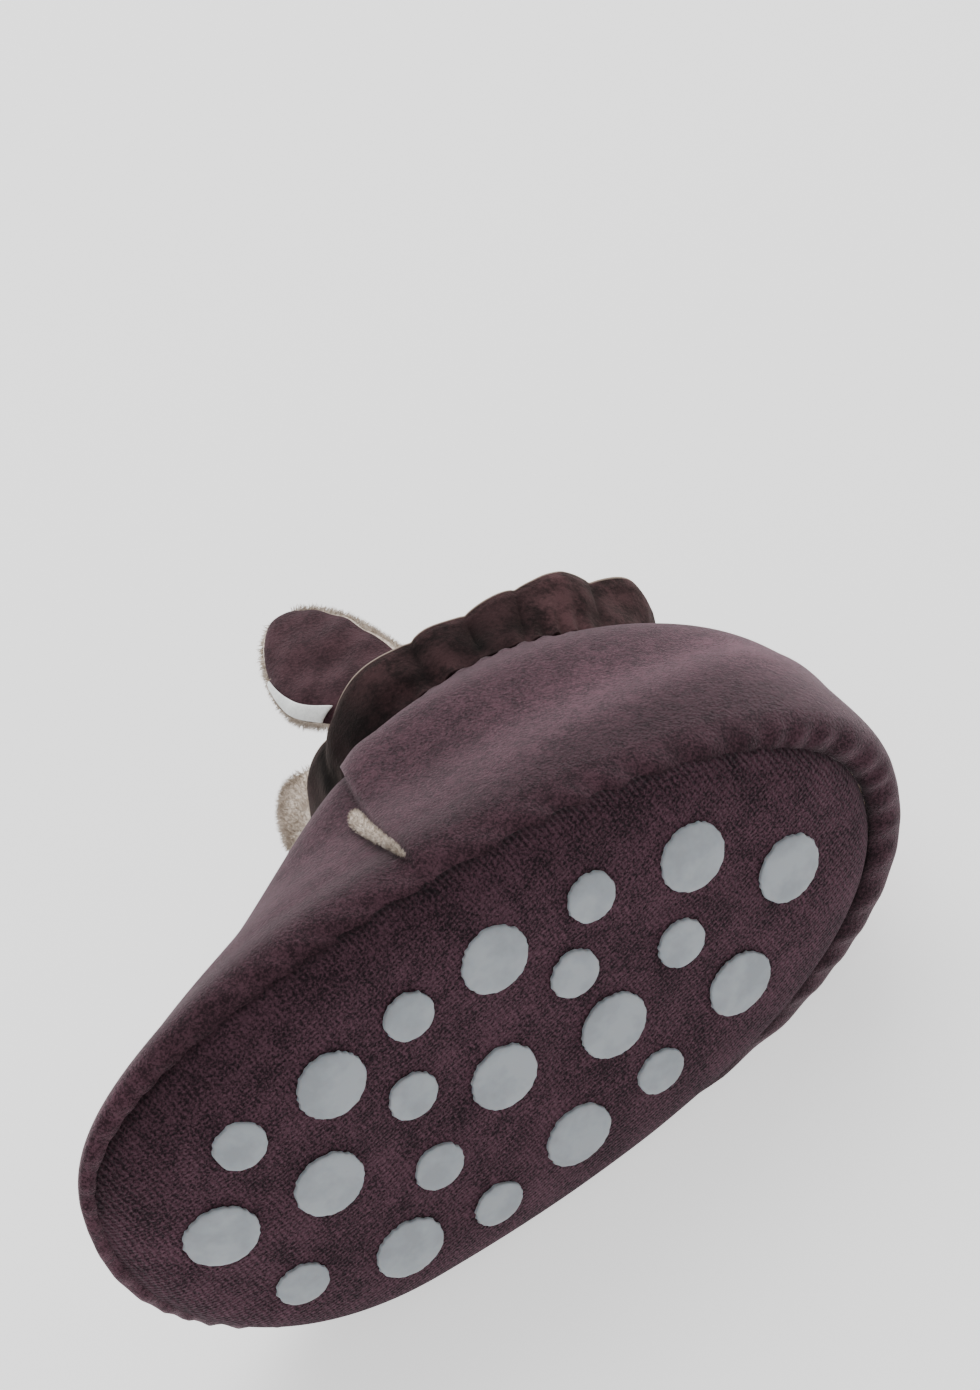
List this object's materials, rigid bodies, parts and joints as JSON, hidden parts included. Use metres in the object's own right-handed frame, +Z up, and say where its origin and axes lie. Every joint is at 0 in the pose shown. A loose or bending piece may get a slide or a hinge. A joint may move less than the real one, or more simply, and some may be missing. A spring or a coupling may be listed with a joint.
{
  "type": "bootie slipper",
  "caption": "Baby's plum velour bootie slipper, right foot, with a knit sole and silicone grip dots, a frilled collar and two plush-lined ears, lying on its outer side.",
  "frame": {"origin": "middle of the shoe's box, on the floor it lies on", "axes": "+X from toe to heel, -Y the way the sole faces, +Y towards the collar and ears, +Z up from the floor, from the foot's outer side to its inner side"},
  "size_m": [0.1276, 0.0882, 0.0648],
  "materials": {
    "plum_velour": "matte",
    "plum_knit_sole": "matte",
    "cream_plush": "matte",
    "grey_silicone": "satin",
    "white_satin": "satin"
  },
  "bodies": {
    "root": {"upper": "plum_velour", "sole": "plum_knit_sole", "insole": "cream_plush", "collar": "plum_velour", "ear_inner": "plum_velour", "ear_outer": "plum_velour", "quarter_edge": "cream_plush", "ear_label": "white_satin", "grip_dot_01": "grey_silicone", "grip_dot_02": "grey_silicone", "grip_dot_03": "grey_silicone", "grip_dot_04": "grey_silicone", "grip_dot_05": "grey_silicone", "grip_dot_06": "grey_silicone", "grip_dot_07": "grey_silicone", "grip_dot_08": "grey_silicone", "grip_dot_09": "grey_silicone", "grip_dot_10": "grey_silicone", "grip_dot_11": "grey_silicone", "grip_dot_12": "grey_silicone", "grip_dot_13": "grey_silicone", "grip_dot_14": "grey_silicone", "grip_dot_15": "grey_silicone", "grip_dot_16": "grey_silicone", "grip_dot_17": "grey_silicone", "grip_dot_18": "grey_silicone", "grip_dot_19": "grey_silicone", "grip_dot_20": "grey_silicone", "grip_dot_21": "grey_silicone"}
  },
  "joints": []
}
